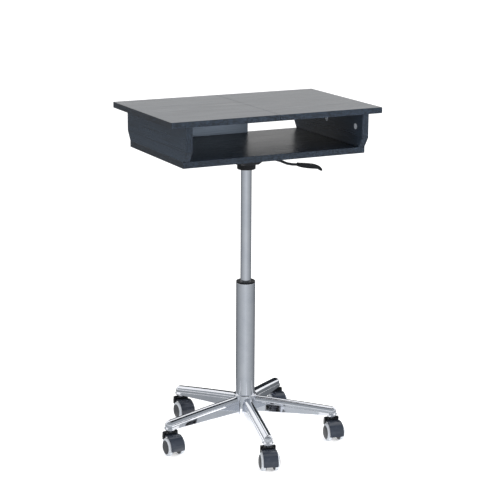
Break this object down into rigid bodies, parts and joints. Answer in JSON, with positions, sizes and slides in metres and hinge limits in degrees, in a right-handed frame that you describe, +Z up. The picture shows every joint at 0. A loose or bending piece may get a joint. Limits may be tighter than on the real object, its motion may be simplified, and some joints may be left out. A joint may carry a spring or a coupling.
{
  "type": "presentation lectern",
  "caption": "Mobile lectern: a flat desktop over an open shelf box, on a lever-released gas-lift column with a polished star base on hooded castors.",
  "frame": {"origin": "on the floor, in the middle of the footprint's bounding rectangle; the column's centre line stands 26.7 mm behind it (+Y)", "axes": "+Z up, +Y to the back (the side with the half-open back panel), +X to the user's right when facing the open front, the side of the height lever"},
  "size_m": [0.58, 0.5039, 0.891],
  "materials": {
    "laminated_board": "dark blue-grey laminate, satin",
    "polished_chrome": "polished",
    "black_plastic": "fine grain",
    "black_painted_steel": "satin black paint",
    "zinc_steel": "zinc plated",
    "hood_plastic": "gloss",
    "wheel_plastic": "matt dark grey",
    "tread_rubber": "soft light grey tread"
  },
  "bodies": {
    "base": {"base_hub": "polished_chrome", "rear_left_leg": "polished_chrome", "front_left_leg": "polished_chrome", "front_leg": "polished_chrome", "right_leg": "polished_chrome", "rear_right_leg": "polished_chrome", "castor_stems": "zinc_steel", "column_tube": "polished_chrome", "tube_bush": "black_plastic"},
    "spindle": {"piston_rod": "zinc_steel"},
    "carriage": {"gas_cylinder": "polished_chrome", "mount_plate": "black_painted_steel", "plate_collar": "black_plastic", "wood_screws": "zinc_steel", "joining_plates": "zinc_steel", "cam_locks": "zinc_steel", "bottom_panel": "laminated_board", "side_panel_left": "laminated_board", "side_panel_right": "laminated_board", "back_panel": "laminated_board", "desktop_left": "laminated_board", "desktop_right": "laminated_board"},
    "height_lever": {"lever_rod": "black_painted_steel", "lever_grip": "black_plastic"},
    "release_pin": {"release_pin": "zinc_steel"},
    "rear_left_castor": {"rear_left_castor_hood": "hood_plastic", "rear_left_castor_axle": "zinc_steel"},
    "rear_left_brake": {"rear_left_castor_brake": "black_plastic"},
    "rear_left_wheel_left": {"rear_left_wheel_left": "wheel_plastic", "rear_left_tread_left": "tread_rubber"},
    "rear_left_wheel_right": {"rear_left_wheel_right": "wheel_plastic", "rear_left_tread_right": "tread_rubber"},
    "front_left_castor": {"front_left_castor_hood": "hood_plastic", "front_left_castor_axle": "zinc_steel"},
    "front_left_brake": {"front_left_castor_brake": "black_plastic"},
    "front_left_wheel_left": {"front_left_wheel_left": "wheel_plastic", "front_left_tread_left": "tread_rubber"},
    "front_left_wheel_right": {"front_left_wheel_right": "wheel_plastic", "front_left_tread_right": "tread_rubber"},
    "front_castor": {"front_castor_hood": "hood_plastic", "front_castor_axle": "zinc_steel"},
    "front_brake": {"front_castor_brake": "black_plastic"},
    "front_wheel_left": {"front_wheel_left": "wheel_plastic", "front_tread_left": "tread_rubber"},
    "front_wheel_right": {"front_wheel_right": "wheel_plastic", "front_tread_right": "tread_rubber"},
    "right_castor": {"right_castor_hood": "hood_plastic", "right_castor_axle": "zinc_steel"},
    "right_brake": {"right_castor_brake": "black_plastic"},
    "right_wheel_left": {"right_wheel_left": "wheel_plastic", "right_tread_left": "tread_rubber"},
    "right_wheel_right": {"right_wheel_right": "wheel_plastic", "right_tread_right": "tread_rubber"},
    "rear_right_castor": {"rear_right_castor_hood": "hood_plastic", "rear_right_castor_axle": "zinc_steel"},
    "rear_right_brake": {"rear_right_castor_brake": "black_plastic"},
    "rear_right_wheel_left": {"rear_right_wheel_left": "wheel_plastic", "rear_right_tread_left": "tread_rubber"},
    "rear_right_wheel_right": {"rear_right_wheel_right": "wheel_plastic", "rear_right_tread_right": "tread_rubber"}
  },
  "joints": [
    {"name": "column_turn", "type": "hinge", "parent": "base", "child": "spindle", "pos_m": [0, 0.0267, 0.079], "axis": [0, 0, 1], "continuous": true},
    {"name": "height_slide", "type": "slide", "parent": "spindle", "child": "carriage", "axis": [0, 0, 1], "range_m": [-0.26, 0]},
    {"name": "lever_lift", "type": "hinge", "parent": "carriage", "child": "height_lever", "pos_m": [0.03, 0.0267, 0.7575], "axis": [0, -1, 0], "range_deg": [0, 6], "stiffness_Nm_per_rad": 2},
    {"name": "release_press", "type": "slide", "parent": "carriage", "child": "release_pin", "axis": [0, 0, 1], "range_m": [-0.0035, 0]},
    {"name": "rear_left_swivel", "type": "hinge", "parent": "base", "child": "rear_left_castor", "pos_m": [-0.09318, 0.23698, 0.049], "axis": [0, 0, 1], "continuous": true},
    {"name": "rear_left_brake_press", "type": "hinge", "parent": "rear_left_castor", "child": "rear_left_brake", "pos_m": [-0.09322, 0.23898, 0.049], "axis": [-0.9998, -0.0175, 0], "range_deg": [0, 8]},
    {"name": "rear_left_wheel_left_spin", "type": "hinge", "parent": "rear_left_castor", "child": "rear_left_wheel_left", "pos_m": [-0.09279, 0.21448, 0.024], "axis": [0.9998, 0.0175, 0], "continuous": true},
    {"name": "rear_left_wheel_right_spin", "type": "hinge", "parent": "rear_left_castor", "child": "rear_left_wheel_right", "pos_m": [-0.09279, 0.21448, 0.024], "axis": [0.9998, 0.0175, 0], "continuous": true},
    {"name": "front_left_swivel", "type": "hinge", "parent": "base", "child": "front_left_castor", "pos_m": [-0.22878, 0.00306, 0.049], "axis": [0, 0, 1], "continuous": true},
    {"name": "front_left_brake_press", "type": "hinge", "parent": "front_left_castor", "child": "front_left_brake", "pos_m": [-0.22882, 0.00506, 0.049], "axis": [-0.9998, -0.0175, 0], "range_deg": [0, 8]},
    {"name": "front_left_wheel_left_spin", "type": "hinge", "parent": "front_left_castor", "child": "front_left_wheel_left", "pos_m": [-0.22839, -0.01944, 0.024], "axis": [0.9998, 0.0175, 0], "continuous": true},
    {"name": "front_left_wheel_right_spin", "type": "hinge", "parent": "front_left_castor", "child": "front_left_wheel_right", "pos_m": [-0.22839, -0.01944, 0.024], "axis": [0.9998, 0.0175, 0], "continuous": true},
    {"name": "front_swivel", "type": "hinge", "parent": "base", "child": "front_castor", "pos_m": [-0.04821, -0.19819, 0.049], "axis": [0, 0, 1], "continuous": true},
    {"name": "front_brake_press", "type": "hinge", "parent": "front_castor", "child": "front_brake", "pos_m": [-0.04763, -0.19628, 0.049], "axis": [-0.9563, 0.2924, 0], "range_deg": [0, 8]},
    {"name": "front_wheel_left_spin", "type": "hinge", "parent": "front_castor", "child": "front_wheel_left", "pos_m": [-0.05479, -0.21971, 0.024], "axis": [0.9563, -0.2924, 0], "continuous": true},
    {"name": "front_wheel_right_spin", "type": "hinge", "parent": "front_castor", "child": "front_wheel_right", "pos_m": [-0.05479, -0.21971, 0.024], "axis": [0.9563, -0.2924, 0], "continuous": true},
    {"name": "right_swivel", "type": "hinge", "parent": "base", "child": "right_castor", "pos_m": [0.19898, -0.08865, 0.049], "axis": [0, 0, 1], "continuous": true},
    {"name": "right_brake_press", "type": "hinge", "parent": "right_castor", "child": "right_brake", "pos_m": [0.19933, -0.08668, 0.049], "axis": [-0.9848, 0.1736, 0], "range_deg": [0, 8]},
    {"name": "right_wheel_left_spin", "type": "hinge", "parent": "right_castor", "child": "right_wheel_left", "pos_m": [0.19508, -0.11081, 0.024], "axis": [0.9848, -0.1736, 0], "continuous": true},
    {"name": "right_wheel_right_spin", "type": "hinge", "parent": "right_castor", "child": "right_wheel_right", "pos_m": [0.19508, -0.11081, 0.024], "axis": [0.9848, -0.1736, 0], "continuous": true},
    {"name": "rear_right_swivel", "type": "hinge", "parent": "base", "child": "rear_right_castor", "pos_m": [0.17119, 0.1803, 0.049], "axis": [0, 0, 1], "continuous": true},
    {"name": "rear_right_brake_press", "type": "hinge", "parent": "rear_right_castor", "child": "rear_right_brake", "pos_m": [0.17154, 0.18227, 0.049], "axis": [-0.9848, 0.1736, 0], "range_deg": [0, 8]},
    {"name": "rear_right_wheel_left_spin", "type": "hinge", "parent": "rear_right_castor", "child": "rear_right_wheel_left", "pos_m": [0.16728, 0.15814, 0.024], "axis": [0.9848, -0.1736, 0], "continuous": true},
    {"name": "rear_right_wheel_right_spin", "type": "hinge", "parent": "rear_right_castor", "child": "rear_right_wheel_right", "pos_m": [0.16728, 0.15814, 0.024], "axis": [0.9848, -0.1736, 0], "continuous": true}
  ],
  "couplings": [
    {"joint": "release_press", "follows": "lever_lift", "m_per_rad": -0.03}
  ]
}
